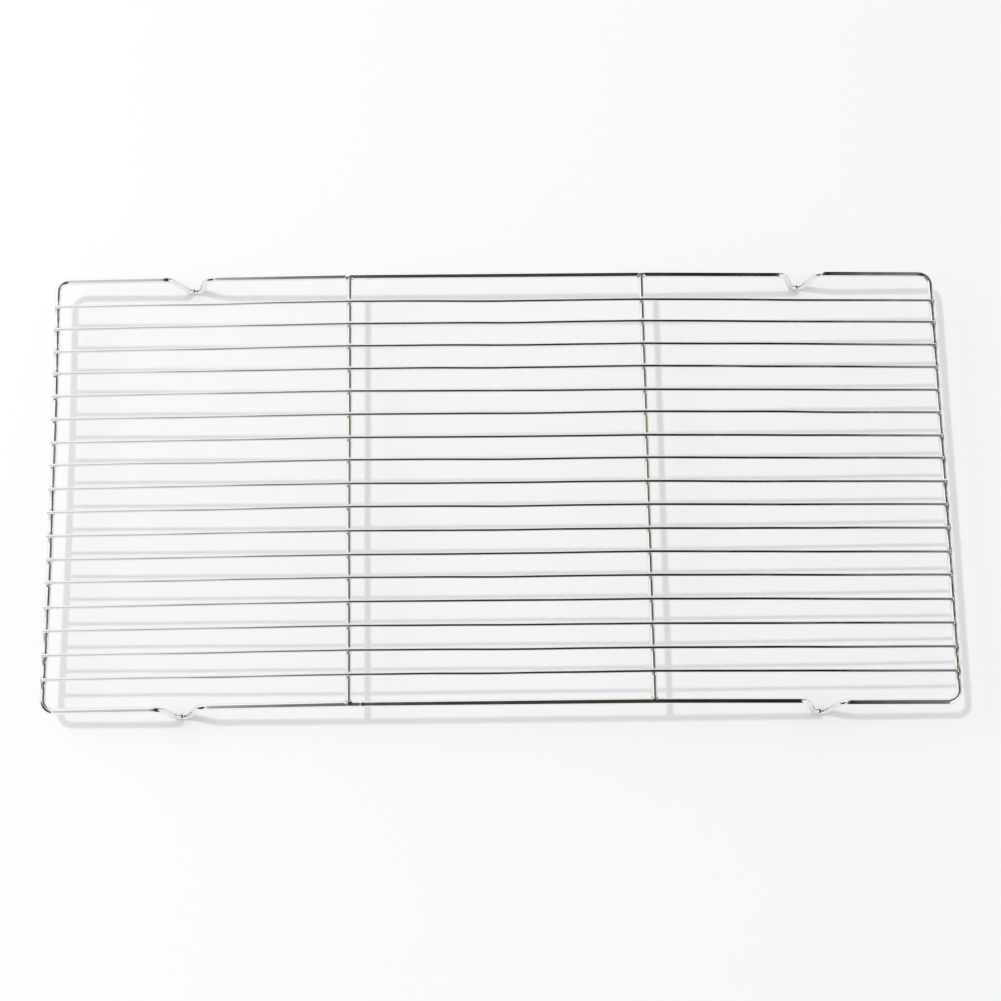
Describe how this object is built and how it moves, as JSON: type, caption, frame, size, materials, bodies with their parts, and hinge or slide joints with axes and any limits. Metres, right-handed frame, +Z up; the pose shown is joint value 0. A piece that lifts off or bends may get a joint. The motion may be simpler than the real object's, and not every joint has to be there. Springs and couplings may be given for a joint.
{
  "type": "cooling rack",
  "caption": "Rectangular wire cooling rack: closely spaced lengthwise wires on cross wires inside a heavier bent rim with V-shaped feet, all bright chrome.",
  "frame": {"origin": "centre of the rack's bounding box in plan, on the surface its feet stand on", "axes": "+X along the rack's length and its closely spaced wires, +Y across it along the cross wires, +Z up"},
  "size_m": [0.46, 0.2332, 0.0264],
  "materials": {
    "chromed_wire": "bright chrome plate on drawn steel wire"
  },
  "bodies": {
    "root": {"rim": "chromed_wire", "cross_wire_left": "chromed_wire", "cross_wire_right": "chromed_wire", "grid_wire_01": "chromed_wire", "grid_wire_02": "chromed_wire", "grid_wire_03": "chromed_wire", "grid_wire_04": "chromed_wire", "grid_wire_05": "chromed_wire", "grid_wire_06": "chromed_wire", "grid_wire_07": "chromed_wire", "grid_wire_08": "chromed_wire", "grid_wire_09": "chromed_wire", "grid_wire_10": "chromed_wire", "grid_wire_11": "chromed_wire", "grid_wire_12": "chromed_wire", "grid_wire_13": "chromed_wire", "grid_wire_14": "chromed_wire", "grid_wire_15": "chromed_wire", "grid_wire_16": "chromed_wire", "grid_wire_17": "chromed_wire"}
  },
  "joints": []
}
